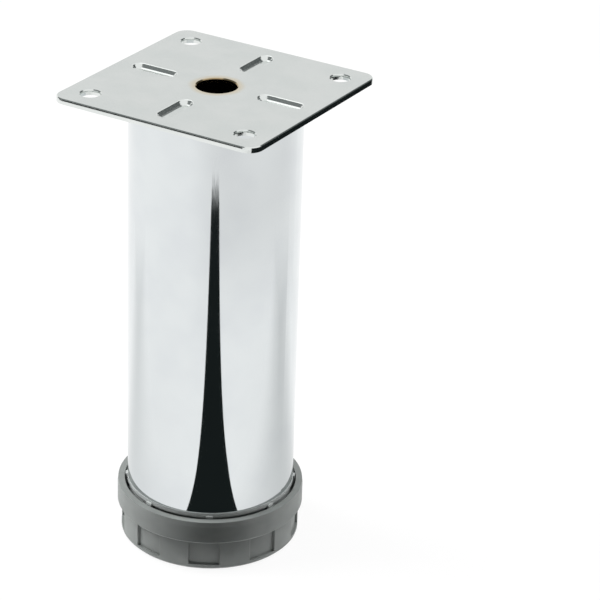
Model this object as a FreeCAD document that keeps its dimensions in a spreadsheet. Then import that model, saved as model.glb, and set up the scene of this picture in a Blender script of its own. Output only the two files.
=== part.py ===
import FreeCAD, Part
import math
import os
import Sketcher
from FreeCAD import Vector

# Adjustable cabinet leg, in millimetres.
# A square plate is projection-welded to a round tube. A plug pressed into the tube's lower end
# holds a nut, and the foot's screw turns in that nut to set the height.
# +Z is up. The origin is the middle of the foot's underside, with the foot screwed fully in.
# The plate's sides lie along X and Y.

# Driving sizes
# Each row is a cell's alias, its value and what it measures. Angles are in degrees.

SIZES = [
    ("plate_side", 80, "mounting plate, side of the square"),
    ("plate_thickness", 2, "mounting plate, sheet thickness"),
    ("plate_corner_radius", 5, "mounting plate, corner radius"),
    ("plate_edge_chamfer", 0.3, "mounting plate, chamfer of the upper edges of sides and corner holes"),
    ("fixing_hole_diameter", 7, "mounting plate, corner holes"),
    ("fixing_hole_inset", 9.5, "mounting plate, corner holes' distance from its sides"),
    ("centre_hole_diameter", 14, "mounting plate, centre hole"),
    ("centre_hole_chamfer", 0.4, "mounting plate, chamfer of the centre hole's upper edge"),
    ("ridge_reach_in", 13.5, "pressed ridge, inner end's distance inward from the tube's outside"),
    ("ridge_reach_out", 0.4, "pressed ridge, share of the way from the tube to the plate's side"),
    ("ridge_width", 5.4, "pressed ridge, width at the top face"),
    ("ridge_depth", 1.5, "pressed ridge, depth below the top face"),
    ("ridge_flank_angle", 35, "pressed ridge, flank's angle from upright"),
    ("ridge_rounding", 0.9, "pressed ridge, rounding of the upper rim"),
    ("ridge_bend", 0.35, "pressed ridge, chamfer of the trough's floor and of the sole"),
    ("tube_diameter", 60, "tube, outside diameter"),
    ("tube_wall", 1, "tube, wall"),
    ("leg_length", 150, "plate's top face to the tube's lower end"),
    ("weld_width", 0.8, "weld between a ridge and the tube's notch"),
    ("plug_turn", 32.4, "plug and nut, turn about the axis from the plate's sides"),
    ("plug_flange_proud", 0.1, "plug, flange's radius beyond the tube's"),
    ("plug_flange_thickness", 1.7, "plug, flange under the tube's end"),
    ("plug_skirt_depth", 9.3, "plug, depth of the skirt below the tube"),
    ("plug_skirt_step", 0.7, "plug, skirt's radius less than the flange's"),
    ("plug_skirt_wall", 2.4, "plug, wall of the skirt"),
    ("guide_lug_count", 8, "plug, guide lugs round the skirt"),
    ("guide_lug_angle", 4.4, "plug, width of a guide lug round the axis"),
    ("guide_lug_drop", 0.9, "plug, guide lugs' top below the tube's end"),
    ("guide_clearance", 0.3, "plug, guide lugs to the collar's bore"),
    ("plug_sleeve_length", 18, "plug, length pressed into the tube"),
    ("plug_sleeve_wall", 2, "plug, wall of the sleeve"),
    ("plug_sleeve_lead", 1, "plug, lead-in chamfer of the sleeve"),
    ("plug_sleeve_clearance", 0.25, "plug, sleeve's radius less than the tube's bore"),
    ("crush_rib_count", 12, "plug, crush ribs round the sleeve"),
    ("crush_rib_angle", 3, "plug, width of a crush rib round the axis"),
    ("crush_rib_clearance", 0.02, "plug, crush rib's radius less than the tube's bore"),
    ("plug_web_drop", 1.5, "plug, web's underside below the tube's end"),
    ("plug_web_thickness", 3, "plug, web"),
    ("plug_rib_count", 6, "plug, stiffening ribs"),
    ("plug_rib_thickness", 2, "plug, stiffening rib"),
    ("plug_rib_start", 2.5, "plug, ribs' lower edge above the skirt's lower end"),
    ("plug_rib_height", 20, "plug, height of the stiffening ribs"),
    ("nut_boss_wall", 2.4, "plug, wall of the boss outside the nut's corners"),
    ("nut_boss_height", 26, "plug, height of the boss"),
    ("nut_recess", 0.5, "plug, nut's underside above the boss's underside"),
    ("pocket_clearance", 0.05, "hexagon pockets, clearance on each flat"),
    ("nut_across_flats", 16, "nut, across flats"),
    ("nut_height", 8.4, "nut, height"),
    ("thread_clearance", 0.2, "nut, bore's radius beyond the screw's"),
    ("screw_diameter", 9.8, "screw, outside diameter of the thread"),
    ("screw_length", 45, "screw, length under the head"),
    ("screw_point_chamfer", 1.2, "screw, chamfer of the point"),
    ("head_across_flats", 16, "screw, head across flats"),
    ("head_height", 6.4, "screw, height of the head"),
    ("hexagon_chamfer_angle", 30, "nut and screw head, angle of the corner chamfer"),
    ("foot_turn", 19.3, "foot and screw, turn about the axis with the foot fully in"),
    ("foot_height", 20.2, "foot, height of the cup"),
    ("rim_reveal", 1.8, "foot's rim to the tube's end, with the foot fully in"),
    ("stop_clearance", 0.3, "foot's ledge to the plug's skirt, with the foot fully in"),
    ("collar_clearance", 0.95, "foot, collar's bore to the plug's flange"),
    ("collar_wall", 2.55, "foot, wall of the collar"),
    ("collar_height", 8.5, "foot, height of the collar's outer face"),
    ("collar_taper", 0.2, "foot, radius that the collar loses towards its rim"),
    ("collar_taper_height", 1.9, "foot, height of the tapered band below the rim"),
    ("collar_edge_chamfer", 0.35, "foot, chamfer of the collar's lower edge"),
    ("grip_step", 1.4, "foot, grip's radius less than the collar's"),
    ("grip_count", 9, "foot, finger recesses round the grip"),
    ("grip_angle", 19.5, "foot, width of a finger recess round the axis"),
    ("grip_depth", 1, "foot, depth of a finger recess"),
    ("grip_base", 2, "foot, lower edge of the finger recesses"),
    ("grip_rounding", 0.3, "foot, rounding of the finger recesses' upright edges"),
    ("base_chamfer", 1, "foot, chamfer of the base's outer edge"),
    ("foot_wall", 2.5, "foot, wall behind a finger recess"),
    ("base_ring_width", 2.6, "foot, width of the ring that stands on the floor"),
    ("foot_floor_base", 3, "foot, underside of the floor"),
    ("foot_floor_thickness", 2.5, "foot, floor"),
    ("head_recess", 1.5, "foot, screw head's underside above the ground"),
    ("head_boss_wall", 2.8, "foot, wall of the boss outside the head's corners"),
    ("head_boss_base", 1, "foot, underside of the boss above the ground"),
    ("screw_hole_clearance", 0.05, "foot, hole's radius beyond the screw's"),
    ("base_rib_count", 9, "foot, ribs under and over the floor"),
    ("base_rib_thickness", 1.8, "foot, rib"),
    ("base_rib_rise", 4, "foot, ribs' upper edge above the floor"),
    ("boss_gap", 1.1, "foot's boss to the plug's boss, with the foot fully in"),
]

doc = FreeCAD.newDocument("cabinet_leg")
sheet = doc.addObject("Spreadsheet::Sheet", "Sizes")
for row, (alias, size, meaning) in enumerate(SIZES, start=1):
    sheet.set(f"A{row}", meaning)
    sheet.set(f"B{row}", str(size))
    sheet.setAlias(f"B{row}", alias)
doc.recompute()

# Levels and radii worked out from the driving sizes, as expressions on the sheet.
# Heights are above the ground where no other level is named.

TUBE_END = "(Sizes.foot_height + Sizes.rim_reveal)"
PLATE_BASE = f"({TUBE_END} + Sizes.leg_length - Sizes.plate_thickness)"
PLUG_BASE = f"({TUBE_END} - Sizes.plug_skirt_depth)"
LEDGE = f"({PLUG_BASE} - Sizes.stop_clearance)"
HEAD_TOP = "(Sizes.head_recess + Sizes.head_height)"
HEAD_BOSS_TOP = f"({PLUG_BASE} - Sizes.boss_gap)"
NUT_BASE = f"({PLUG_BASE} + Sizes.nut_recess)"

TUBE_RADIUS = "(Sizes.tube_diameter / 2)"
BORE_RADIUS = f"({TUBE_RADIUS} - Sizes.tube_wall)"
SCREW_RADIUS = "(Sizes.screw_diameter / 2)"
THREAD_RADIUS = f"({SCREW_RADIUS} + Sizes.thread_clearance)"
FLANGE_RADIUS = f"({TUBE_RADIUS} + Sizes.plug_flange_proud)"
SKIRT_RADIUS = f"({FLANGE_RADIUS} - Sizes.plug_skirt_step)"
COLLAR_BORE = f"({FLANGE_RADIUS} + Sizes.collar_clearance)"
COLLAR_RADIUS = f"({COLLAR_BORE} + Sizes.collar_wall)"
GRIP_RADIUS = f"({COLLAR_RADIUS} - Sizes.grip_step)"
RECESS_RADIUS = f"({GRIP_RADIUS} - Sizes.grip_depth)"
FOOT_BORE = f"({RECESS_RADIUS} - Sizes.foot_wall)"

# Where a ridge starts and ends, measured from the axis.

RIDGE_START = f"({TUBE_RADIUS} - Sizes.ridge_reach_in)"
BEYOND_TUBE = f"(Sizes.plate_side / 2 - {TUBE_RADIUS})"
RIDGE_END = f"({TUBE_RADIUS} + Sizes.ridge_reach_out * {BEYOND_TUBE})"

# Half widths of a ridge's underside, where it leaves the sheet and at its lowest.
# The sheet keeps its thickness round the bend.

FLANK = "Sizes.ridge_flank_angle * 1 deg"
RIDGE_FOOT = (
    f"(Sizes.ridge_width / 2 + Sizes.plate_thickness * (1 - sin({FLANK})) / cos({FLANK}))"
)
RIDGE_SOLE = f"({RIDGE_FOOT} - Sizes.ridge_depth * tan({FLANK}))"
NOTCH_DEPTH = "(Sizes.ridge_depth + Sizes.weld_width)"

# The plate has one ridge and one corner hole to a quarter.

QUARTERS = "4"
HEXAGON_CORNERS = 6

# Cutting sketches reach this far past the surface that they cut.

OVERCUT = "1"


def number(expression):
    """An expression's value on the sheet."""
    value = sheet.evalExpression(expression)
    return float(getattr(value, "Value", value))


def bind(item, **expressions):
    """Tie properties to expressions; two underscores in a name stand for a dot."""
    for name, expression in expressions.items():
        item.setExpression(name.replace("__", "."), expression)


# Bodies and sketches


def new_body(label, height="0", turned="0"):
    """A body whose own origin stands at a height above the ground, turned about the axis."""
    body = doc.addObject("PartDesign::Body", label)
    body.Label = label
    bind(body, Placement__Base__z=height, Placement__Rotation__Angle=turned)
    return body


def new_sketch(body, name, plane, offset="0"):
    """A sketch on one of a body's origin planes, moved along the plane's normal."""
    sketch = body.newObject("Sketcher::SketchObject", name)
    support = next(f for f in body.Origin.OriginFeatures if f.Role == plane)
    sketch.AttachmentSupport = [(support, "")]
    sketch.MapMode = "FlatFace"
    bind(sketch, AttachmentOffset__Base__z=offset)
    return sketch


def constrain(sketch, kind, *places, size=None):
    """Add a constraint, with its size tied to an expression if it has one."""
    if size is None:
        sketch.addConstraint(Sketcher.Constraint(kind, *places))
        return
    index = sketch.addConstraint(Sketcher.Constraint(kind, *places, number(size)))
    sketch.setExpression(f"Constraints[{index}]", size)


def outline(sketch, points):
    """A closed outline of straight lines; each corner is a pair of expressions."""
    corners = [Vector(number(x), number(y), 0) for x, y in points]
    count = len(corners)
    for i, corner in enumerate(corners):
        sketch.addGeometry(Part.LineSegment(corner, corners[(i + 1) % count]))
    for i in range(count):
        constrain(sketch, "Coincident", i, 2, (i + 1) % count, 1)
    for i, (x, y) in enumerate(points):
        constrain(sketch, "DistanceX", -1, 1, i, 1, size=x)
        constrain(sketch, "DistanceY", -1, 1, i, 1, size=y)
    return sketch


def circle(sketch, radius, x="0", y="0"):
    """A circle in a sketch."""
    centre = Vector(number(x), number(y), 0)
    index = sketch.addGeometry(Part.Circle(centre, Vector(0, 0, 1), number(radius)))
    constrain(sketch, "DistanceX", -1, 1, index, 3, size=x)
    constrain(sketch, "DistanceY", -1, 1, index, 3, size=y)
    constrain(sketch, "Radius", index, size=radius)
    return sketch


def hexagon(sketch, across_flats):
    """A regular hexagon round the origin, with two corners on the X axis."""
    radius = f"({across_flats}) / sqrt(3)"
    turns = [f"{60 * i} * 1 deg" for i in range(HEXAGON_CORNERS)]
    return outline(sketch, [(f"{radius} * cos({t})", f"{radius} * sin({t})") for t in turns])


def slot(sketch, start, end, radius):
    """A straight slot along X, from the centre of one round end to the other's."""
    first = Vector(number(start), 0, 0)
    last = Vector(number(end), 0, 0)
    up = Vector(0, number(radius), 0)
    axis = Vector(0, 0, 1)
    quarter = math.pi / 2
    left = Part.ArcOfCircle(Part.Circle(first, axis, up.y), quarter, 3 * quarter)
    right = Part.ArcOfCircle(Part.Circle(last, axis, up.y), -quarter, quarter)
    sketch.addGeometry(left)
    sketch.addGeometry(Part.LineSegment(first - up, last - up))
    sketch.addGeometry(right)
    sketch.addGeometry(Part.LineSegment(last + up, first + up))
    constrain(sketch, "Tangent", 0, 2, 1, 1)
    constrain(sketch, "Tangent", 1, 2, 2, 1)
    constrain(sketch, "Tangent", 2, 2, 3, 1)
    constrain(sketch, "Tangent", 3, 2, 0, 1)
    constrain(sketch, "PointOnObject", 0, 3, -1)
    constrain(sketch, "PointOnObject", 2, 3, -1)
    constrain(sketch, "DistanceX", -1, 1, 0, 3, size=start)
    constrain(sketch, "DistanceX", -1, 1, 2, 3, size=end)
    constrain(sketch, "Radius", 0, size=radius)
    return sketch


# Features


def check_change(body, kind, before):
    """Stop if a feature left the body's volume on the wrong side of what it was."""
    doc.recompute()
    change = body.Shape.Volume - before
    removes = kind in ("Pocket", "Groove", "Chamfer")
    if (removes and change >= 0) or (not removes and change <= 0):
        raise RuntimeError(f"{body.Label}: a {kind} changed the volume by {change:.3f}")


def volume_of(body):
    """A body's volume, or zero before its first feature."""
    return 0 if body.Shape.isNull() else body.Shape.Volume


def extrude(kind, sketch, length, **settings):
    """A Pad or Pocket of a sketch. Settings are the feature's own properties."""
    body = sketch.getParentGeoFeatureGroup()
    before = volume_of(body)
    feature = body.newObject(f"PartDesign::{kind}", f"{sketch.Name}_{kind.lower()}")
    feature.Profile = sketch
    bind(feature, Length=length)
    for name, value in settings.items():
        setattr(feature, name, value)
    sketch.Visibility = False
    check_change(body, kind, before)
    return feature


def turn(kind, sketch, angle="360"):
    """A Revolution or Groove of a sketch about the body's axis, centred on its plane."""
    body = sketch.getParentGeoFeatureGroup()
    before = volume_of(body)
    feature = body.newObject(f"PartDesign::{kind}", f"{sketch.Name}_{kind.lower()}")
    feature.Profile = sketch
    feature.ReferenceAxis = (sketch, ["V_Axis"])
    feature.Midplane = True
    bind(feature, Angle=angle)
    sketch.Visibility = False
    check_change(body, kind, before)
    return feature


def repeat(features, count):
    """The same features again, evenly round the body's axis."""
    body = features[0].getParentGeoFeatureGroup()
    pattern = body.newObject("PartDesign::PolarPattern", f"{features[-1].Name}_pattern")
    pattern.Originals = features
    axis = next(f for f in body.Origin.OriginFeatures if f.Role == "Z_Axis")
    pattern.Axis = (axis, [""])
    pattern.Angle = 360
    bind(pattern, Occurrences=count)
    body.Tip = pattern
    doc.recompute()
    return pattern


def round_edges(body, name, size, wanted, kind="Fillet"):
    """Round or chamfer the edges of a body's tip that the wanted test picks."""
    base = body.Tip
    edges = [f"Edge{i}" for i, e in enumerate(base.Shape.Edges, start=1) if wanted(e)]
    if not edges:
        raise RuntimeError(f"{body.Label}: {name} finds no edges")
    feature = body.newObject(f"PartDesign::{kind}", name)
    feature.Base = (base, edges)
    bind(feature, **{"Radius" if kind == "Fillet" else "Size": size})
    body.Tip = feature
    doc.recompute()
    return feature


def lies_at(edge, height):
    """Whether an edge lies flat at a height above its body's own origin."""
    box = edge.BoundBox
    return abs(box.ZMin - height) < 1e-4 and abs(box.ZMax - height) < 1e-4


def is_upright(edge):
    """Whether an edge is a straight upright line."""
    box = edge.BoundBox
    return box.XLength < 1e-4 and box.YLength < 1e-4 and box.ZLength > 1e-4


def reach(edge):
    """The distance of an edge's middle from the axis."""
    middle = edge.valueAt((edge.FirstParameter + edge.LastParameter) / 2)
    return math.hypot(middle.x, middle.y)


# Mounting plate: pressed sheet with four ridges that point down, standing on the tube's end


def make_mounting_plate():
    body = new_body("mounting_plate", PLATE_BASE)
    half = "Sizes.plate_side / 2"
    corners = [(f"-{half}", f"-{half}"), (half, f"-{half}"), (half, half), (f"-{half}", half)]
    sheet_outline = outline(new_sketch(body, "sheet_outline", "XY_Plane"), corners)
    extrude("Pad", sheet_outline, "Sizes.plate_thickness")
    round_edges(body, "corner_rounding", "Sizes.plate_corner_radius", is_upright)

    start = f"{RIDGE_START} + Sizes.ridge_width / 2"
    end = f"{RIDGE_END} - Sizes.ridge_width / 2"
    flank = number("Sizes.ridge_flank_angle")
    underside = slot(new_sketch(body, "ridge_underside", "XY_Plane"), start, end, RIDGE_FOOT)
    bulge = extrude("Pad", underside, "Sizes.ridge_depth", Reversed=True, TaperAngle=-flank)
    bind(bulge, TaperAngle="-Sizes.ridge_flank_angle")
    trough_sketch = new_sketch(body, "ridge_trough", "XY_Plane", "Sizes.plate_thickness")
    slot(trough_sketch, start, end, "Sizes.ridge_width / 2")
    trough = extrude("Pocket", trough_sketch, "Sizes.ridge_depth", TaperAngle=-flank)
    bind(trough, TaperAngle="-Sizes.ridge_flank_angle")
    repeat([bulge, trough], QUARTERS)

    hole_offset = "Sizes.plate_side / 2 - Sizes.fixing_hole_inset"
    fixing_hole = new_sketch(body, "fixing_hole", "XY_Plane", "Sizes.plate_thickness")
    circle(fixing_hole, "Sizes.fixing_hole_diameter / 2", hole_offset, hole_offset)
    repeat([extrude("Pocket", fixing_hole, "Sizes.plate_thickness")], QUARTERS)
    centre_hole = new_sketch(body, "centre_hole", "XY_Plane", "Sizes.plate_thickness")
    circle(centre_hole, "Sizes.centre_hole_diameter / 2")
    extrude("Pocket", centre_hole, "Sizes.plate_thickness")

    top = number("Sizes.plate_thickness")
    side = number("Sizes.plate_side / 2")
    ridges = (number(RIDGE_START), number(RIDGE_END))

    def is_ridge_edge(edge, height):
        middle = edge.BoundBox.Center
        on_axis = min(abs(middle.x), abs(middle.y)) < number(RIDGE_FOOT) + 0.01
        between = ridges[0] < math.hypot(middle.x, middle.y) < ridges[1]
        return lies_at(edge, height) and on_axis and between

    trough_floor = number("Sizes.plate_thickness - Sizes.ridge_depth")
    sole = -number("Sizes.ridge_depth")
    round_edges(body, "trough_rims", "Sizes.ridge_rounding", lambda e: is_ridge_edge(e, top))
    bend = "Sizes.ridge_bend"
    for name, height in (("trough_floors", trough_floor), ("ridge_soles", sole)):
        round_edges(body, name, bend, lambda e: is_ridge_edge(e, height), "Chamfer")

    def is_rim(edge, diameter):
        size = number(diameter)
        return lies_at(edge, top) and edge.isClosed() and abs(edge.BoundBox.XLength - size) < 0.01

    def is_sheet_edge(edge):
        outer = lies_at(edge, top) and reach(edge) > side - 0.01 and not edge.isClosed()
        return outer or is_rim(edge, "Sizes.fixing_hole_diameter")

    centre_rim = "Sizes.centre_hole_diameter"
    hole_chamfer = "Sizes.centre_hole_chamfer"
    round_edges(body, "punched_edge", hole_chamfer, lambda e: is_rim(e, centre_rim), "Chamfer")
    round_edges(body, "sheet_edge", "Sizes.plate_edge_chamfer", is_sheet_edge, "Chamfer")
    return body


# Tube: round, with four notches in its upper end that sit over the plate's ridges


def notch_corners(half_foot, half_sole, depth, top):
    """The corners of a ridge's section, widest at the sheet and narrowest below it."""
    low = f"{top} - {depth}"
    return [
        (f"-{half_foot}", top),
        (f"-{half_sole}", low),
        (half_sole, low),
        (half_foot, top),
    ]


def make_leg_tube():
    body = new_body("leg_tube", TUBE_END)
    length = "(Sizes.leg_length - Sizes.plate_thickness)"
    ring = circle(new_sketch(body, "tube_ring", "XY_Plane"), TUBE_RADIUS)
    circle(ring, BORE_RADIUS)
    extrude("Pad", ring, length)
    notch = new_sketch(body, "ridge_notch", "XZ_Plane")
    foot = f"({RIDGE_FOOT} + Sizes.weld_width)"
    sole = f"({RIDGE_SOLE} + Sizes.weld_width)"
    outline(notch, notch_corners(foot, sole, NOTCH_DEPTH, length))
    cut = extrude("Pocket", notch, "Sizes.tube_diameter * 2", SideType="Symmetric")
    repeat([cut], QUARTERS)
    return body


# Welds: the metal between each ridge and the tube's notch, four solids in one group


def notch_bar(name, half_foot, half_sole, depth, turned):
    """A bar across the tube with a ridge's section, along Y or turned to lie along X."""
    sketch = doc.addObject("Sketcher::SketchObject", f"{name}_section")
    upright = FreeCAD.Rotation(Vector(1, 0, 0), 90)
    about_axis = FreeCAD.Rotation(Vector(0, 0, 1), 90 if turned else 0)
    sketch.Placement = FreeCAD.Placement(Vector(), about_axis * upright)
    outline(sketch, notch_corners(half_foot, half_sole, depth, NOTCH_DEPTH))
    bar = doc.addObject("Part::Extrusion", name)
    bar.Base = sketch
    bar.DirMode = "Normal"
    bar.Solid = True
    bar.Symmetric = True
    bind(bar, LengthFwd="Sizes.tube_diameter * 2")
    return bar


def join(kind, name, base, tool):
    """A boolean of two objects."""
    result = doc.addObject(f"Part::{kind}", name)
    result.Base = base
    result.Tool = tool
    return result


def crossed_bars(name, half_foot, half_sole, depth):
    """Two bars that cross on the axis."""
    along_y = notch_bar(f"{name}_y", half_foot, half_sole, depth, False)
    along_x = notch_bar(f"{name}_x", half_foot, half_sole, depth, True)
    return join("Fuse", name, along_y, along_x)


def make_weld_nuggets():
    rounds = {"weld_outside": TUBE_RADIUS, "weld_inside": BORE_RADIUS}
    for name, radius in rounds.items():
        cylinder = doc.addObject("Part::Cylinder", name)
        bind(cylinder, Radius=radius, Height=NOTCH_DEPTH)
    wall = join("Cut", "weld_wall", doc.weld_outside, doc.weld_inside)
    foot = f"({RIDGE_FOOT} + Sizes.weld_width)"
    sole = f"({RIDGE_SOLE} + Sizes.weld_width)"
    notches = crossed_bars("notch_bars", foot, sole, NOTCH_DEPTH)
    ridges = crossed_bars("ridge_bars", RIDGE_FOOT, RIDGE_SOLE, "Sizes.ridge_depth")
    filled = join("Common", "filled_notches", wall, notches)
    welds = join("Cut", "weld_nuggets", filled, ridges)
    welds.Label = "weld_nuggets"
    bind(welds, Placement__Base__z=f"{PLATE_BASE} - {NOTCH_DEPTH}")
    return welds


# Plug: moulded, with a sleeve in the tube, a flange under the tube's end, a skirt with guide lugs
# that keep the foot's collar central, and a boss that holds the nut


def make_tube_plug():
    body = new_body("tube_plug", PLUG_BASE, "Sizes.plug_turn")
    shoulder = "Sizes.plug_skirt_depth"
    sleeve = f"({BORE_RADIUS} - Sizes.plug_sleeve_clearance)"
    sleeve_bore = f"({sleeve} - Sizes.plug_sleeve_wall)"
    sleeve_top = f"({shoulder} + Sizes.plug_sleeve_length)"
    skirt_bore = f"({SKIRT_RADIUS} - Sizes.plug_skirt_wall)"
    flange_base = f"({shoulder} - Sizes.plug_flange_thickness)"
    web_base = f"({shoulder} - Sizes.plug_web_drop)"
    web_top = f"({web_base} + Sizes.plug_web_thickness)"
    boss_radius = "(Sizes.nut_across_flats / sqrt(3) + Sizes.nut_boss_wall)"
    section = [
        (THREAD_RADIUS, "0"),
        (boss_radius, "0"),
        (boss_radius, web_base),
        (skirt_bore, web_base),
        (skirt_bore, "0"),
        (SKIRT_RADIUS, "0"),
        (SKIRT_RADIUS, flange_base),
        (FLANGE_RADIUS, flange_base),
        (FLANGE_RADIUS, shoulder),
        (sleeve, shoulder),
        (sleeve, f"{sleeve_top} - Sizes.plug_sleeve_lead"),
        (f"{sleeve} - Sizes.plug_sleeve_lead / 2", sleeve_top),
        (sleeve_bore, sleeve_top),
        (sleeve_bore, web_top),
        (boss_radius, web_top),
        (boss_radius, "Sizes.nut_boss_height"),
        (THREAD_RADIUS, "Sizes.nut_boss_height"),
    ]
    turn("Revolution", outline(new_sketch(body, "plug_section", "XZ_Plane"), section))

    nut_pocket = new_sketch(body, "nut_pocket", "XY_Plane")
    hexagon(nut_pocket, "Sizes.nut_across_flats + 2 * Sizes.pocket_clearance")
    pocket_depth = "Sizes.nut_recess + Sizes.nut_height"
    extrude("Pocket", nut_pocket, pocket_depth, Reversed=True)

    middle = f"({boss_radius} - Sizes.nut_boss_wall / 2)"
    rib_top = "Sizes.plug_rib_start + Sizes.plug_rib_height"
    corners = [
        (middle, "Sizes.plug_rib_start"),
        (f"{sleeve_bore} + 0.5 * Sizes.plug_sleeve_wall", "Sizes.plug_rib_start"),
        (f"{sleeve_bore} + 0.5 * Sizes.plug_sleeve_wall", rib_top),
        (middle, rib_top),
    ]
    rib = outline(new_sketch(body, "plug_rib", "XZ_Plane"), corners)
    pad = extrude("Pad", rib, "Sizes.plug_rib_thickness", SideType="Symmetric")
    repeat([pad], "Sizes.plug_rib_count")

    lug_root = f"{SKIRT_RADIUS} - Sizes.plug_skirt_wall / 2"
    lug_tip = f"{COLLAR_BORE} - Sizes.guide_clearance"
    lug_top = f"{shoulder} - Sizes.guide_lug_drop"
    lug = [(lug_root, "0"), (lug_tip, "0"), (lug_tip, lug_top), (lug_root, lug_top)]
    guide_lug = outline(new_sketch(body, "guide_lug", "XZ_Plane"), lug)
    repeat([turn("Revolution", guide_lug, "Sizes.guide_lug_angle")], "Sizes.guide_lug_count")

    crush = [
        (f"{sleeve} - Sizes.plug_sleeve_wall / 2", shoulder),
        (f"{BORE_RADIUS} - Sizes.crush_rib_clearance", shoulder),
        (f"{BORE_RADIUS} - Sizes.crush_rib_clearance", f"{sleeve_top} - 3 * Sizes.plug_sleeve_lead"),
        (f"{sleeve} - Sizes.plug_sleeve_wall / 2", f"{sleeve_top} - 2 * Sizes.plug_sleeve_lead"),
    ]
    crush_rib = outline(new_sketch(body, "crush_rib", "XZ_Plane"), crush)
    repeat([turn("Revolution", crush_rib, "Sizes.crush_rib_angle")], "Sizes.crush_rib_count")
    return body


# Hexagons with turned-off corners, for the nut and the screw's head


def chamfer_hexagon(body, name, across_flats, level, inward):
    """Turn off a hexagon's corners at a level; inward is 1 if the metal is above it."""
    corner = f"({across_flats}) / sqrt(3)"
    flat = f"({across_flats}) / 2"
    angle = "Sizes.hexagon_chamfer_angle * 1 deg"
    drop = f"({corner} - {flat}) * tan({angle})"
    wide = f"{corner} + {OVERCUT}"
    wide_drop = f"({drop} + {OVERCUT} * tan({angle}))"
    sign = "+" if inward > 0 else "-"
    triangle = [
        (flat, level),
        (wide, level),
        (wide, f"{level} {sign} {wide_drop}"),
    ]
    turn("Groove", outline(new_sketch(body, name, "XZ_Plane"), triangle))


def make_adjuster_nut():
    body = new_body("adjuster_nut", NUT_BASE, "Sizes.plug_turn")
    sides = hexagon(new_sketch(body, "nut_sides", "XY_Plane"), "Sizes.nut_across_flats")
    circle(sides, THREAD_RADIUS)
    extrude("Pad", sides, "Sizes.nut_height")
    chamfer_hexagon(body, "lower_corners", "Sizes.nut_across_flats", "0", 1)
    chamfer_hexagon(body, "upper_corners", "Sizes.nut_across_flats", "Sizes.nut_height", -1)
    return body


def make_adjusting_screw():
    body = new_body("adjusting_screw", "Sizes.head_recess", "Sizes.foot_turn")
    head = hexagon(new_sketch(body, "head_sides", "XY_Plane"), "Sizes.head_across_flats")
    extrude("Pad", head, "Sizes.head_height")
    chamfer_hexagon(body, "head_corners", "Sizes.head_across_flats", "0", 1)
    end = "(Sizes.head_height + Sizes.screw_length)"
    shank = [
        ("0", "Sizes.head_height"),
        (SCREW_RADIUS, "Sizes.head_height"),
        (SCREW_RADIUS, f"{end} - Sizes.screw_point_chamfer"),
        (f"{SCREW_RADIUS} - Sizes.screw_point_chamfer", end),
        ("0", end),
    ]
    turn("Revolution", outline(new_sketch(body, "shank_section", "XZ_Plane"), shank))
    return body


# Foot: one moulding, with a collar round the plug's skirt and a grip with finger recesses


def make_foot_cup():
    body = new_body("foot_cup", "0", "Sizes.foot_turn")
    collar_base = "(Sizes.foot_height - Sizes.collar_height)"
    floor_top = "(Sizes.foot_floor_base + Sizes.foot_floor_thickness)"
    base_edge = f"({GRIP_RADIUS} - Sizes.base_chamfer)"
    ring_bore = f"({base_edge} - Sizes.base_ring_width)"
    boss_radius = "(Sizes.head_across_flats / sqrt(3) + Sizes.head_boss_wall)"
    hole = f"({SCREW_RADIUS} + Sizes.screw_hole_clearance)"
    section = [
        (hole, "Sizes.head_boss_base"),
        (boss_radius, "Sizes.head_boss_base"),
        (boss_radius, "Sizes.foot_floor_base"),
        (ring_bore, "Sizes.foot_floor_base"),
        (ring_bore, "0"),
        (base_edge, "0"),
        (GRIP_RADIUS, "Sizes.base_chamfer"),
        (GRIP_RADIUS, collar_base),
        (f"{COLLAR_RADIUS} - Sizes.collar_edge_chamfer", collar_base),
        (COLLAR_RADIUS, f"{collar_base} + Sizes.collar_edge_chamfer"),
        (COLLAR_RADIUS, "Sizes.foot_height - Sizes.collar_taper_height"),
        (f"{COLLAR_RADIUS} - Sizes.collar_taper", "Sizes.foot_height"),
        (COLLAR_BORE, "Sizes.foot_height"),
        (COLLAR_BORE, LEDGE),
        (FOOT_BORE, LEDGE),
        (FOOT_BORE, floor_top),
        (boss_radius, floor_top),
        (boss_radius, HEAD_BOSS_TOP),
        (hole, HEAD_BOSS_TOP),
    ]
    turn("Revolution", outline(new_sketch(body, "foot_section", "XZ_Plane"), section))

    head_pocket = new_sketch(body, "head_pocket", "XY_Plane", "Sizes.head_boss_base")
    hexagon(head_pocket, "Sizes.head_across_flats + 2 * Sizes.pocket_clearance")
    extrude("Pocket", head_pocket, f"{HEAD_TOP} - Sizes.head_boss_base", Reversed=True)

    rib_start = f"({boss_radius} - Sizes.head_boss_wall / 2)"
    rib_end = f"({FOOT_BORE} + Sizes.foot_wall / 2)"
    rib_top = f"({floor_top} + Sizes.base_rib_rise)"
    corners = [
        (rib_start, "Sizes.head_boss_base"),
        (rib_end, "Sizes.head_boss_base"),
        (rib_end, rib_top),
        (rib_start, rib_top),
    ]
    rib = outline(new_sketch(body, "base_rib", "XZ_Plane"), corners)
    pad = extrude("Pad", rib, "Sizes.base_rib_thickness", SideType="Symmetric")
    repeat([pad], "Sizes.base_rib_count")

    outside = f"{COLLAR_RADIUS} + {OVERCUT}"
    recess = [
        (RECESS_RADIUS, "Sizes.grip_base"),
        (outside, "Sizes.grip_base"),
        (outside, collar_base),
        (RECESS_RADIUS, collar_base),
    ]
    finger_recess = outline(new_sketch(body, "finger_recess", "XZ_Plane"), recess)
    repeat([turn("Groove", finger_recess, "Sizes.grip_angle")], "Sizes.grip_count")

    grip = number(GRIP_RADIUS)
    round_edges(
        body,
        "recess_edges",
        "Sizes.grip_rounding",
        lambda e: is_upright(e) and abs(reach(e) - grip) < 0.01,
    )
    return body


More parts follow.
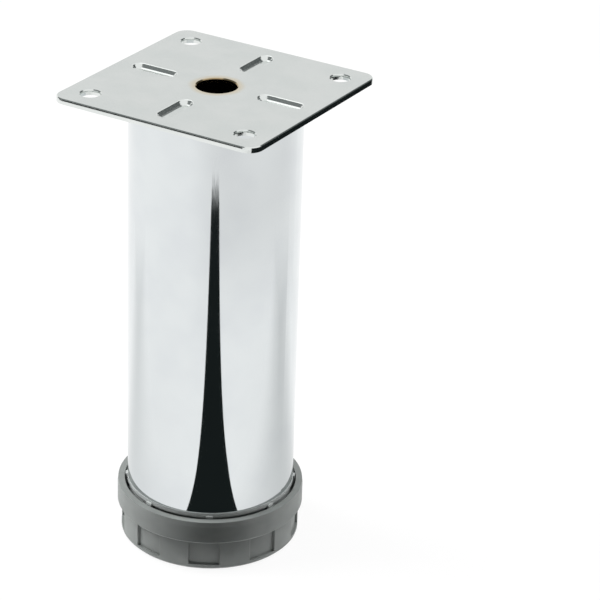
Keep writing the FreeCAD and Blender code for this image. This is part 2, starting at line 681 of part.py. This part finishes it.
PIECES = [
    make_mounting_plate(),
    make_leg_tube(),
    make_weld_nuggets(),
    make_tube_plug(),
    make_adjuster_nut(),
    make_adjusting_screw(),
    make_foot_cup(),
]
doc.recompute()

# Checks before anything is written

for item in doc.Objects:
    if "Invalid" in item.State or "Error" in item.State:
        raise RuntimeError(f"{item.Label} failed: {item.State}")
for piece in PIECES:
    if piece.Shape.isNull() or not piece.Shape.isValid():
        raise RuntimeError(f"{piece.Label} has no valid shape")

os.makedirs("parts", exist_ok=True)
for piece in PIECES:
    piece.Shape.exportStep(f"parts/{piece.Label}.step")
    print(f"{piece.Label}: {len(piece.Shape.Solids)} solids, {piece.Shape.Volume:.0f} cubic mm")
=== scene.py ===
import math

import bpy
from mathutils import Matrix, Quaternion, Vector


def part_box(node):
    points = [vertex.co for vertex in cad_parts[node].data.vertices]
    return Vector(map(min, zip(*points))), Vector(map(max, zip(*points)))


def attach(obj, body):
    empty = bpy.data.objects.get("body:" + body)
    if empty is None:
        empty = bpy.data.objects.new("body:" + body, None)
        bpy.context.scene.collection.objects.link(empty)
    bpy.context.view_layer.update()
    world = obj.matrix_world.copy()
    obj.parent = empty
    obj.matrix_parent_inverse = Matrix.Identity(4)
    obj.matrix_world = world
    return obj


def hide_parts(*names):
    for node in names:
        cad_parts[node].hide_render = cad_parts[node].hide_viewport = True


# Adjustable cabinet leg: finishes, thread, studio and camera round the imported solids.
# Lengths are in metres, and MM turns millimetres into metres. place(), turned() and
# facing_sheet() take millimetres, as do the helpers' arguments whose names end in _mm.

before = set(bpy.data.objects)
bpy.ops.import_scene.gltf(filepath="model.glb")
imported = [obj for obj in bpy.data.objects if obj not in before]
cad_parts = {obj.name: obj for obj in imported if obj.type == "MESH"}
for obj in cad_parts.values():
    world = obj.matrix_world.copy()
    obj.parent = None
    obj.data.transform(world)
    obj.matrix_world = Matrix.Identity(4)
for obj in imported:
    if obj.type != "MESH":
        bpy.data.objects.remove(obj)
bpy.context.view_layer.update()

MM = 0.001

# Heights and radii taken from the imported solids

foot_low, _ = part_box("foot_cup")
_, plate_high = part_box("mounting_plate")
_, tube_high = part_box("leg_tube")
screw_low, screw_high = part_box("adjusting_screw")

TUBE_RADIUS = tube_high.x
TUBE_WALL = 1 * MM
PLATE_TOP = plate_high.z


# Material helpers


def colour(text):
    """An sRGB hex colour as linear RGBA."""
    parts = [int(text[i:i + 2], 16) / 255 for i in (1, 3, 5)]
    linear = [c / 12.92 if c <= 0.04045 else ((c + 0.055) / 1.055) ** 2.4 for c in parts]
    return (*linear, 1.0)


def node(tree, kind, settings=None, **inputs):
    """Add a node with its settings and links. An input is a value or another node's output.
    It is named with underscores for spaces, or i0, i1 and so on by its place."""
    item = tree.nodes.new(kind)
    for name, value in (settings or {}).items():
        setattr(item, name, value)
    for name, value in inputs.items():
        key = int(name[1:]) if name[1:].isdigit() else name.replace("_", " ")
        if isinstance(value, bpy.types.NodeSocket):
            tree.links.new(value, item.inputs[key])
        else:
            item.inputs[key].default_value = value
    return item


def bare_material(name):
    """A node material with nothing but its output."""
    material = bpy.data.materials.new(name)
    material.use_nodes = True
    tree = material.node_tree
    tree.nodes.clear()
    return material, tree, tree.nodes.new("ShaderNodeOutputMaterial")


def surface_material(name):
    """A node material with one main shader, whose sockets set_shader fills."""
    material, tree, output = bare_material(name)
    shader = node(tree, "ShaderNodeBsdfPrincipled")
    tree.links.new(shader.outputs["BSDF"], output.inputs["Surface"])
    return material, tree, shader


def set_shader(shader, **values):
    """Set a shader's sockets; underscores stand for spaces."""
    tree = shader.id_data
    for name, value in values.items():
        socket = shader.inputs[name.replace("_", " ")]
        if isinstance(value, bpy.types.NodeSocket):
            tree.links.new(value, socket)
        else:
            socket.default_value = value


def math_node(tree, operation, a, b=0.0):
    """A sum, product or comparison of two values."""
    return node(tree, "ShaderNodeMath", {"operation": operation}, i0=a, i1=b).outputs[0]


def vector_node(tree, operation, *inputs):
    """A vector operation's result, which is a number for a length or a dot product."""
    item = node(tree, "ShaderNodeVectorMath", {"operation": operation},
                **{f"i{index}": value for index, value in enumerate(inputs)})
    return item.outputs["Value" if operation in ("LENGTH", "DOT_PRODUCT") else "Vector"]


def fade(tree, value, start, end):
    """0 at start, 1 at end, smooth between and level beyond."""
    ramp = node(tree, "ShaderNodeMapRange", {"interpolation_type": "SMOOTHSTEP"},
                Value=value, From_Min=start, From_Max=end)
    return ramp.outputs["Result"]


def spread(tree, value, low, high, start=0.0, end=1.0):
    """low where a value is start and high where it is end, in a straight line between."""
    ramp = node(tree, "ShaderNodeMapRange", Value=value, From_Min=start, From_Max=end,
                To_Min=low, To_Max=high)
    return ramp.outputs["Result"]


def blend_colour(tree, amount, first, second):
    """One colour to another by an amount from 0 to 1."""
    mix = node(tree, "ShaderNodeMix", {"data_type": "RGBA"}, i0=amount, i6=first, i7=second)
    return mix.outputs[2]


def blend_value(tree, amount, first, second):
    """One value to another by an amount from 0 to 1."""
    mix = node(tree, "ShaderNodeMix", {"data_type": "FLOAT"}, i0=amount, i2=first, i3=second)
    return mix.outputs[0]


def blend_shader(tree, amount, first, second):
    """A node that goes from one shader to another by an amount from 0 to 1."""
    return node(tree, "ShaderNodeMixShader",
                i0=amount, i1=first.outputs[0], i2=second.outputs[0])


def noise(tree, spot, size_mm, detail=2.0, roughness=0.5):
    """Noise with features about size_mm across."""
    texture = node(tree, "ShaderNodeTexNoise", Vector=spot, Scale=1 / (size_mm * MM),
                   Detail=detail, Roughness=roughness)
    return texture.outputs["Fac"]


def surface_spot(tree):
    """The surface point's place in the object's own frame, and its distance from the axis."""
    spot = node(tree, "ShaderNodeTexCoord").outputs["Object"]
    flat = vector_node(tree, "MULTIPLY", spot, (1.0, 1.0, 0.0))
    return spot, vector_node(tree, "LENGTH", flat)


def height_of(tree, spot):
    """A surface point's height."""
    return node(tree, "ShaderNodeSeparateXYZ", Vector=spot).outputs["Z"]


def bump(tree, height, depth_mm, strength, normal=None):
    """A bump of a real depth from a height between 0 and 1, on the surface or on a normal."""
    base = {"Normal": normal} if normal else {}
    item = node(tree, "ShaderNodeBump", Strength=strength, Distance=depth_mm * MM,
                Height=height, **base)
    return item.outputs["Normal"]


def soft_edges(tree, radius_mm):
    """The normal with moulded edges rounded to a radius."""
    return node(tree, "ShaderNodeBevel", {"samples": 8}, Radius=radius_mm * MM).outputs[0]


def seen_rays(tree):
    """1 for a ray that shows something: from the camera, mirrored or passed through."""
    path = node(tree, "ShaderNodeLightPath")
    seen = math_node(tree, "MAXIMUM", path.outputs["Is Camera Ray"], path.outputs["Is Glossy Ray"])
    return math_node(tree, "MAXIMUM", seen, path.outputs["Is Transmission Ray"])


def back_side(tree):
    """1 on the side of a sheet that faces away from its normal."""
    return node(tree, "ShaderNodeNewGeometry").outputs["Backfacing"]


# Finishes

# Where the punch rolls the plate's sides over, as it shears the sheet. The chamfer above is
# in the solid. The sides and the corner holes' walls lie beyond ROLL_BEYOND from the axis.
ROLL_START = PLATE_TOP - 1.2 * MM
ROLL_FULL = PLATE_TOP - 0.5 * MM
ROLL_END = PLATE_TOP - 0.31 * MM
ROLL_SLOPE = 0.23
ROLL_BEYOND = 38 * MM

# Radii of the stain round the plate's centre hole, and of the darker ring on the hole's edge
STAIN_NEAR, STAIN_FAR = 8.2 * MM, 11.2 * MM
RING_NEAR, RING_FAR = 7.15 * MM, 7.5 * MM
STAIN_WOBBLE = 1.6 * MM

# The tube's polishing marks are drawn out along it.
MARK_STRETCH = (1.0, 1.0, 0.04)

# Painted highlight: a narrow band round the collar's lower edge, on the outside of the foot.
PAINTED_HIGHLIGHT_HEIGHT = foot_low.z + 11.8 * MM
PAINTED_HIGHLIGHT_HALF = 0.3 * MM
PAINTED_HIGHLIGHT_BEYOND = TUBE_RADIUS + 2.6 * MM


def rolled_edge(tree, spot, radius):
    """The plate's normal, tilted up where the punch rolls the sheared sides over."""
    height = height_of(tree, spot)
    lift = fade(tree, height, ROLL_START, ROLL_FULL)
    for part in (math_node(tree, "LESS_THAN", height, ROLL_END),
                 math_node(tree, "GREATER_THAN", radius, ROLL_BEYOND), ROLL_SLOPE):
        lift = math_node(tree, "MULTIPLY", lift, part)
    up = node(tree, "ShaderNodeCombineXYZ", Z=lift).outputs[0]
    surface = node(tree, "ShaderNodeNewGeometry").outputs["Normal"]
    return vector_node(tree, "NORMALIZE", vector_node(tree, "ADD", surface, up))


def chrome_tube_finish():
    """Decorative chrome plate on a polished welded steel tube: a clear mirror with faint
    lengthwise polishing marks, and bare dull steel inside, where the plating doesn't reach."""
    material, tree, shader = surface_material("chrome_plate_polished_tube")
    spot, radius = surface_spot(tree)
    inside = math_node(tree, "LESS_THAN", radius, TUBE_RADIUS - TUBE_WALL / 2)
    lengthwise = vector_node(tree, "MULTIPLY", spot, MARK_STRETCH)
    marks = noise(tree, lengthwise, 1.2, 3.0)
    haze = fade(tree, noise(tree, spot, 18), 0.35, 0.75)
    rough = blend_value(tree, inside, spread(tree, haze, 0.035, 0.055), 0.55)
    shade = blend_colour(tree, haze, colour("#dee2e3"), colour("#d9dddf"))
    shade = blend_colour(tree, inside, shade, colour("#3c3b39"))
    set_shader(shader, Base_Color=shade, Metallic=1.0, Roughness=rough,
               Normal=bump(tree, marks, 0.002, 0.4))
    return material


def chrome_plate_finish():
    """Chrome plate on cold-pressed sheet: a soft satin mirror that shows the sheet's grain,
    with a straw-brown stain round the punched hole, where the plating bath drained."""
    material, tree, shader = surface_material("chrome_plate_pressed_sheet")
    spot, radius = surface_spot(tree)
    grain = noise(tree, spot, 0.5, 3.0, 0.6)
    cloud = fade(tree, noise(tree, spot, 12), 0.3, 0.7)
    wobble = math_node(tree, "MULTIPLY", noise(tree, spot, 6), STAIN_WOBBLE)
    stain = fade(tree, math_node(tree, "ADD", radius, wobble), STAIN_NEAR, STAIN_FAR)
    ring = fade(tree, radius, RING_NEAR, RING_FAR)
    shade = blend_colour(tree, cloud, colour("#e4e7e5"), colour("#dfe3e1"))
    shade = blend_colour(tree, stain, colour("#ded4be"), shade)
    shade = blend_colour(tree, ring, colour("#a38f6c"), shade)
    set_shader(shader, Base_Color=shade, Metallic=1.0,
               Roughness=spread(tree, grain, 0.12, 0.19, 0.3, 0.7),
               Normal=bump(tree, grain, 0.004, 0.3, rolled_edge(tree, spot, radius)))
    return material


def chrome_weld_finish():
    """Chrome plate over a projection weld's bead: duller, with a frozen ripple."""
    material, tree, shader = surface_material("chrome_plate_weld_bead")
    spot, _ = surface_spot(tree)
    ripple = noise(tree, spot, 0.6)
    shade = blend_colour(tree, ripple, colour("#b9bab8"), colour("#8f8a80"))
    set_shader(shader, Base_Color=shade, Metallic=1.0, Roughness=0.35,
               Normal=bump(tree, ripple, 0.05, 0.8))
    return material


def moulded_finish(name, light, dark, painted_highlight=False):
    """Injection-moulded polypropylene, grey: satin, with a fine spark-eroded grain and faint
    flow shading. Where it is asked for, a narrow band round the collar's lower edge is
    painted a little paler: a painted highlight where the rounded edge catches the light."""
    material, tree, shader = surface_material(name)
    spot, radius = surface_spot(tree)
    # The mould's grain is 0.05 mm; drawn at 0.35 mm, the finest that the render shows.
    grain = noise(tree, spot, 0.35)
    flow = fade(tree, noise(tree, spot, 9), 0.3, 0.7)
    shade = blend_colour(tree, flow, colour(light), colour(dark))
    if painted_highlight:
        # Painted highlight: the collar's lower edge is painted paler, where its rounding catches
        # the light.
        off = math_node(tree, "SUBTRACT", height_of(tree, spot), PAINTED_HIGHLIGHT_HEIGHT)
        line = math_node(tree, "LESS_THAN", math_node(tree, "ABSOLUTE", off), PAINTED_HIGHLIGHT_HALF)
        outer = math_node(tree, "GREATER_THAN", radius, PAINTED_HIGHLIGHT_BEYOND)
        line = math_node(tree, "MULTIPLY", line, outer)
        shade = blend_colour(tree, line, shade, colour("#b4b8b8"))
    set_shader(shader, Base_Color=shade, Metallic=0.0, IOR=1.49,
               Roughness=spread(tree, grain, 0.36, 0.46, 0.3, 0.7),
               Normal=bump(tree, grain, 0.012, 0.6, soft_edges(tree, 0.3)))
    return material


def zinc_finish():
    """Bright zinc plate on cold-headed steel: a pale, slightly blue metal with soft blotches."""
    material, tree, shader = surface_material("zinc_plate_cold_headed_steel")
    spot, _ = surface_spot(tree)
    blotch = fade(tree, noise(tree, spot, 3), 0.35, 0.65)
    shade = blend_colour(tree, blotch, colour("#c3c6c9"), colour("#aeb4b8"))
    set_shader(shader, Base_Color=shade, Metallic=1.0,
               Roughness=spread(tree, blotch, 0.26, 0.38))
    return material


def dress(name, material):
    """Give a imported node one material."""
    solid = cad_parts[name]
    if not solid.material_slots:
        solid.data.materials.append(material)
    for slot in solid.material_slots:
        slot.material = material


zinc_steel = zinc_finish()
dress("mounting_plate", chrome_plate_finish())
dress("leg_tube", chrome_tube_finish())
dress("weld_nuggets", chrome_weld_finish())
dress("tube_plug", moulded_finish("polypropylene_moulded_plug", "#b4b8b7", "#acb0af"))
# The foot's collar gets a painted highlight on its lower edge.
dress("foot_cup", moulded_finish("polypropylene_moulded_foot", "#868a88", "#7e8280", painted_highlight=True))
dress("adjuster_nut", zinc_steel)
dress("adjusting_screw", zinc_steel)


# The screw, an M10 hexagon screw with its thread, in the plain solid's place

HEAD_HEIGHT = 6.4 * MM
HEAD_FLATS = 8 * MM  # from the axis to a flat
HEAD_FACE = 7.6 * MM  # radius of the flat end inside the corners' chamfer
HEAD_SLOPE = math.tan(math.radians(30))
THREAD_PITCH = 1.5 * MM
THREAD_CREST = 4.9 * MM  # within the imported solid's shank
THREAD_ROOT = 4.08 * MM
THREAD_END = 3.9 * MM  # radius of the flat end inside the thread's chamfer
TURN_STEPS = 48
# One pitch of the thread's outline: the share of the pitch, and the radius there
THREAD_OUTLINE = (
    (0.0, THREAD_ROOT), (0.16, THREAD_ROOT), (0.5, THREAD_CREST), (0.66, THREAD_CREST),
)
SHARP_ANGLE = math.radians(28)


def circle_points(count, corner, radius_at, height_at):
    """Points round the axis from an angle on. radius_at takes the distance from the axis to
    the hexagon's side at that angle, and height_at takes the radius."""
    points = []
    for step in range(count):
        angle = corner + 2 * math.pi * step / count
        sector = (angle - corner) % (math.pi / 3) - math.pi / 6
        radius = radius_at(HEAD_FLATS / math.cos(sector))
        points.append((radius * math.cos(angle), radius * math.sin(angle), height_at(radius)))
    return points


def hexagon_head(low, corner):
    """The head's points and faces: a flat end with turned-off corners, six sides, and the
    bearing face in to the thread's root. corner is the angle of one of the six corners."""
    count = 2 * TURN_STEPS
    top = low + HEAD_HEIGHT
    rings = (
        (lambda side: HEAD_FACE, lambda radius: low),
        (lambda side: side, lambda radius: low + (radius - HEAD_FACE) * HEAD_SLOPE),
        (lambda side: side, lambda radius: top),
        (lambda side: THREAD_ROOT, lambda radius: top),
    )
    points = []
    for radius_at, height_at in rings:
        points += circle_points(count, corner, radius_at, height_at)
    faces = [tuple(reversed(range(count)))]
    for ring in range(len(rings) - 1):
        for step in range(count):
            here, after = ring * count + step, ring * count + (step + 1) % count
            faces.append((here, after, after + count, here + count))
    return points, faces


def helical_thread(low, high, start):
    """The thread's points and faces, with their numbers from start on. Each row of points
    climbs one pitch in its turn and then meets the row that begins one pitch higher. Rows
    beyond the shank's ends are pressed flat there."""
    turns = math.ceil((high - low) / THREAD_PITCH) + 1
    rows = [(turn + share, radius) for turn in range(-1, turns) for share, radius in THREAD_OUTLINE]
    angles = [2 * math.pi * step / TURN_STEPS for step in range(TURN_STEPS)]
    points, faces = [], []
    for share, radius in rows:
        for step, angle in enumerate(angles):
            height = low + THREAD_PITCH * (share + step / TURN_STEPS)
            kept = min(max(height, low), high)
            deepest = THREAD_ROOT if height < low else THREAD_CREST
            reach = min(radius, THREAD_END + high - kept, deepest)
            points.append((reach * math.cos(angle), reach * math.sin(angle), kept))
    for row in range(len(rows) - len(THREAD_OUTLINE) - 1):
        for step in range(TURN_STEPS):
            here = start + row * TURN_STEPS + step
            beside = here + 1
            if step == TURN_STEPS - 1:
                beside = start + (row + len(THREAD_OUTLINE)) * TURN_STEPS
            faces.append((here, beside, beside + TURN_STEPS, here + TURN_STEPS))
    last = start + len(points)
    points += [(THREAD_END * math.cos(angle), THREAD_END * math.sin(angle), high)
               for angle in angles]
    faces.append(tuple(range(last, last + TURN_STEPS)))
    return points, faces


def threaded_screw(name, low, high, corner):
    """The hexagon screw with its head down, from one height to another."""
    points, faces = hexagon_head(low, corner)
    thread_points, thread_faces = helical_thread(low + HEAD_HEIGHT, high, len(points))
    mesh = bpy.data.meshes.new(name)
    mesh.from_pydata(points + thread_points, [], faces + thread_faces)
    mesh.validate()
    mesh.shade_smooth()
    mesh.set_sharp_from_angle(angle=SHARP_ANGLE)
    item = bpy.data.objects.new(name, mesh)
    bpy.context.scene.collection.objects.link(item)
    return item


solid_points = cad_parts["adjusting_screw"].data.vertices
solid_corner = max(solid_points, key=lambda point: point.co.xy.length).co
screw = threaded_screw("m10_screw", screw_low.z, screw_high.z,
                       math.atan2(solid_corner.y, solid_corner.x))
screw.data.materials.append(zinc_steel)
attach(screw, "foot")
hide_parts("adjusting_screw")


# Camera: its place, aim and lens follow the photo's viewpoint, solved for an 80 mm plate.

CAMERA_PLACE = Vector((434.6, -680.9, 489.9)) * MM
CAMERA_AIM = Vector((26.3, 15.4, 92.4)) * MM
CAMERA_ROLL = math.radians(1.903)
CAMERA_LENS = 153.69
CAMERA_SENSOR = 36

lens = bpy.data.cameras.new("camera")
lens.lens = CAMERA_LENS
lens.sensor_width = CAMERA_SENSOR
lens.clip_start = 10 * MM
camera = bpy.data.objects.new("camera", lens)
camera.location = CAMERA_PLACE
look = (CAMERA_AIM - CAMERA_PLACE).to_track_quat("-Z", "Y")
camera.rotation_mode = "QUATERNION"
camera.rotation_quaternion = look @ Quaternion((0, 0, 1), CAMERA_ROLL)
bpy.context.scene.collection.objects.link(camera)
bpy.context.scene.camera = camera


# Studio

front = Vector((CAMERA_PLACE.x, CAMERA_PLACE.y, 0)).normalized()
side = Vector((-front.y, front.x, 0))

# Levels, distances and rows of corners are in millimetres here, for place(), turned() and
# facing_sheet().
SQUARE = ((-1, -1), (1, -1), (1, 1), (-1, 1))
PLATE_LEVEL = 172
CARD_DISTANCE = 1400
FLOOR_HALF = 3000
FLOOR_LEVEL = -0.02
# Sheets that lie on the floor, each a little above the one before
FAR_LEVEL, BAND_LEVEL, STRIP_LEVEL, SHADE_LEVEL = 0.3, 0.4, 0.5, 1
ON_FLOOR = 2  # a sheet below this height lies on the floor
# The floor's own shading fades out between these distances from the leg.
SHADOW_NEAR, SHADOW_FAR = 250 * MM, 900 * MM
AMBIENT = 0.05
LAMP_AIM = Vector((0, 0, 90)) * MM


def place(out, across, height=0.0):
    """A point by its way out towards the camera's side, across to the right, and up."""
    return front * out * MM + side * across * MM + Vector((0, 0, height * MM))


def turned(turn, along, across, height=0.0):
    """A point by its way along a direction, given in degrees to the right of the camera, its
    way across that direction, and up."""
    way = math.radians(turn)
    return place(along * math.cos(way) - across * math.sin(way),
                 along * math.sin(way) + across * math.cos(way), height)


def facing_sheet(turn, rise, width, height):
    """The corners of a sheet that faces the plate from a direction, given in degrees to the
    right of the camera and in degrees above the plate."""
    up = math.radians(rise)
    out, lift = CARD_DISTANCE * math.cos(up), CARD_DISTANCE * math.sin(up)
    centre = turned(turn, out, 0, PLATE_LEVEL + lift)
    across = turned(turn, 0, width / 2)
    tall = turned(turn, -math.sin(up) * height / 2, 0, math.cos(up) * height / 2)
    return [centre + across * a + tall * b for a, b in SQUARE]


def sheet_object(name, outline, material):
    """A flat stage sheet with the given corners."""
    mesh = bpy.data.meshes.new(name)
    mesh.from_pydata([tuple(point) for point in outline], [], [tuple(range(len(outline)))])
    mesh.materials.append(material)
    item = bpy.data.objects.new(name, mesh)
    bpy.context.scene.collection.objects.link(item)
    if max(point[2] for point in outline) < ON_FLOOR * MM:
        # What lies on the floor stays under the foot as the foot screws out.
        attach(item, "foot")
    return item


def floor_finish():
    """White studio paper. Seen by the camera or in a reflection it is close to plain white,
    and still takes part of the object's shadow. From below it is clear, so that the foot's
    underside can be looked at."""
    material, tree, output = bare_material("white_studio_paper")
    _, radius = surface_spot(tree)
    paper = node(tree, "ShaderNodeBsdfPrincipled", Base_Color=colour("#f2f2f2"),
                 Roughness=0.9, Specular_IOR_Level=0.0)
    glow = node(tree, "ShaderNodeEmission", Color=colour("#ffffff"), Strength=1.0)
    share = spread(tree, radius, 0.9, 1.0, SHADOW_NEAR, SHADOW_FAR)
    share = math_node(tree, "MULTIPLY", seen_rays(tree), share)
    clear = node(tree, "ShaderNodeBsdfTransparent")
    above = blend_shader(tree, share, paper, glow)
    both = blend_shader(tree, back_side(tree), above, clear)
    tree.links.new(both.outputs[0], output.inputs["Surface"])
    return material


def card_finish(name, shade, strength=1.0, ragged_end=None, band=None, dies_out=None,
                one_sided=False):
    """Studio card of one shade, which the chrome shows as a soft or dark patch. ragged_end
    gives two distances from the leg, between which the card ends raggedly. band gives a
    direction, the band's middle along it, and the half width over which the card fades on
    both sides. dies_out gives the distances from the leg where the card is whole and where
    it is gone. A one-sided card lets light pass from below, so the floor under it stays as
    bright as the rest."""
    material, tree, output = bare_material(name)
    spot, radius = surface_spot(tree)
    clear = 0.0
    if ragged_end:
        near, far = ragged_end
        ragged = math_node(tree, "MULTIPLY", noise(tree, spot, 9, 3.0), far - near)
        clear = fade(tree, math_node(tree, "SUBTRACT", radius, ragged),
                     near - (far - near) / 2, (near + far) / 2)
    if band:
        direction, middle, half = band
        off = vector_node(tree, "DOT_PRODUCT", spot, direction)
        off = math_node(tree, "ABSOLUTE", math_node(tree, "SUBTRACT", off, middle))
        clear = fade(tree, off, 0.0, half)
    if dies_out:
        clear = math_node(tree, "MAXIMUM", clear, fade(tree, radius, *dies_out))
    if one_sided:
        clear = math_node(tree, "MAXIMUM", back_side(tree), clear)
    glow = node(tree, "ShaderNodeEmission", Color=colour(shade), Strength=strength)
    see_through = node(tree, "ShaderNodeBsdfTransparent")
    both = blend_shader(tree, clear, glow, see_through)
    tree.links.new(both.outputs[0], output.inputs["Surface"])
    return material


def card(name, outline, material, mirrored=True, shades=False):
    """A card that the camera doesn't see. Mirrored, it shows in reflections; where it shades,
    it takes its share of the soft light that reaches the object."""
    item = sheet_object(name, outline, material)
    item.visible_camera = False
    item.visible_glossy = mirrored
    item.visible_diffuse = shades
    item.visible_shadow = False
    item.visible_transmission = False


def soft_light(name, spot, size, power):
    """A square soft box, its side in metres and its power in watts, that shines on the
    middle of the leg."""
    lamp = bpy.data.lights.new(name, "AREA")
    lamp.shape = "SQUARE"
    lamp.size = size
    lamp.energy = power
    item = bpy.data.objects.new(name, lamp)
    item.location = spot
    item.rotation_euler = (LAMP_AIM - spot).to_track_quat("-Z", "Y").to_euler()
    item.visible_glossy = False
    bpy.context.scene.collection.objects.link(item)


# The room: white where it is seen, and a faint even light on everything.
world = bpy.data.worlds.new("studio")
bpy.context.scene.world = world
world.use_nodes = True
sky = world.node_tree
sky.nodes.clear()
ambient = node(sky, "ShaderNodeBackground", Color=colour("#ffffff"), Strength=AMBIENT)
backdrop = node(sky, "ShaderNodeBackground", Color=colour("#ffffff"), Strength=1.0)
room = blend_shader(sky, seen_rays(sky), ambient, backdrop)
node(sky, "ShaderNodeOutputWorld", Surface=room.outputs[0])

sheet_object("floor", [place(a * FLOOR_HALF, b * FLOOR_HALF, FLOOR_LEVEL) for a, b in SQUARE],
             floor_finish())

black_card = card_finish("black_card", "#141a1a")

# The strip in front of the leg is the tube's dark wedge. Each row is a way out and the
# strip's left and right sides there.
STRIP = ((46, -29, 32), (60, -28, 33), (95, -27, 35), (335, -26.5, 34), (400, -24, 30))
strip_outline = [place(out, left, STRIP_LEVEL) for out, left, right in STRIP]
strip_outline += [place(out, right, STRIP_LEVEL) for out, left, right in reversed(STRIP)]
card("strip_card", strip_outline,
     card_finish("black_strip_card", "#1a1f1f", ragged_end=(335 * MM, 385 * MM), one_sided=True),
     shades=True)

# This one keeps the floor's light off the front of the foot.
SHADE_CORNERS = ((40, -55), (320, -90), (320, 90), (40, 55))
card("front_shade", [place(out, across, SHADE_LEVEL) for out, across in SHADE_CORNERS],
     card_finish("black_shade_card", "#141a1a", one_sided=True), mirrored=False, shades=True)

# Sheets of painted shadow: they stand in for the leg's own shadow on the floor, which the tube
# shows as a soft band near each side. Each row is a turn from the camera's side, the half
# width and a shade. The sheets leave out the foot's place.
BAND_LENGTH = 330
BAND_DIES_OUT = (190 * MM, 310 * MM)
FOOT_REACH = 37
for name, turn, half, shade in (("left_painted_shadow", -112, 74, "#f0f1f1"),
                                ("right_painted_shadow", 98, 86, "#dfe0e0")):
    corners = ((0, -half), (BAND_LENGTH, -half), (BAND_LENGTH, half), (0, half),
               (0, FOOT_REACH), (FOOT_REACH, FOOT_REACH), (FOOT_REACH, -FOOT_REACH),
               (0, -FOOT_REACH))
    band = (turned(turn, 0, 1) / MM, 0.0, half * MM)
    card(name, [turned(turn, along, across, BAND_LEVEL) for along, across in corners],
         card_finish(name + "_card", shade, band=band, dies_out=BAND_DIES_OUT))

# The room is a little darker far in front, to the right: the tube's upper half shows it.
# It comes in with the distance, so its dies_out goes from far to near.
FAR_TURN = 55
FAR_CORNERS = ((0, -450), (600, -450), (600, 450), (0, 450))
far_band = (turned(FAR_TURN, 1, 0) / MM, 300 * MM, 300 * MM)
card("far_shade", [turned(FAR_TURN, along, across, FAR_LEVEL) for along, across in FAR_CORNERS],
     card_finish("far_shade_card", "#f1f1f1", band=far_band, dies_out=(350 * MM, 190 * MM)))

# On the left: the far walls of the ridges along X show the high one, and the plate's rolled
# front edge the low one.
card("left_card", facing_sheet(-96, 46, 1900, 1150), card_finish("dark_grey_card", "#7e8282"))
card("left_low_card", facing_sheet(-75, 1, 1500, 440), black_card)

# Bright and high behind: it makes the white band in the ridges along X.
card("bright_card", facing_sheet(-158, 54, 700, 700),
     card_finish("bright_card", "#ffffff", strength=1.5))

# Upright at the back on the right: the far walls of the ridges along Y show it. The small
# one by the plate is what the plate's right side shows.
RIGHT_CORNERS = ((-85, 420, 250), (-370, 218, 250), (-370, 218, 640), (-85, 420, 640))
card("right_card", [place(*corner) for corner in RIGHT_CORNERS],
     card_finish("darker_grey_card", "#5c6060"))
SIDE_CORNERS = ((42, -42, 163.5), (42, 46, 163.5), (42, 46, 172.6), (42, -42, 172.6))
card("side_face_card", [Vector(corner) * MM for corner in SIDE_CORNERS], black_card)

# Far behind: the plate's flat top shows it, a little greyer than the rest of the room.
card("plate_card", facing_sheet(180, 21, 900, 600), card_finish("light_grey_card", "#e9eaea"))

soft_light("left_box", place(-250, -900, 1100), size=0.9, power=28)
soft_light("right_box", place(-250, 900, 1100), size=0.9, power=16)
soft_light("top_box", place(0, 0, 1600), size=0.6, power=8)

view = bpy.context.scene.view_settings
view.view_transform = "Standard"
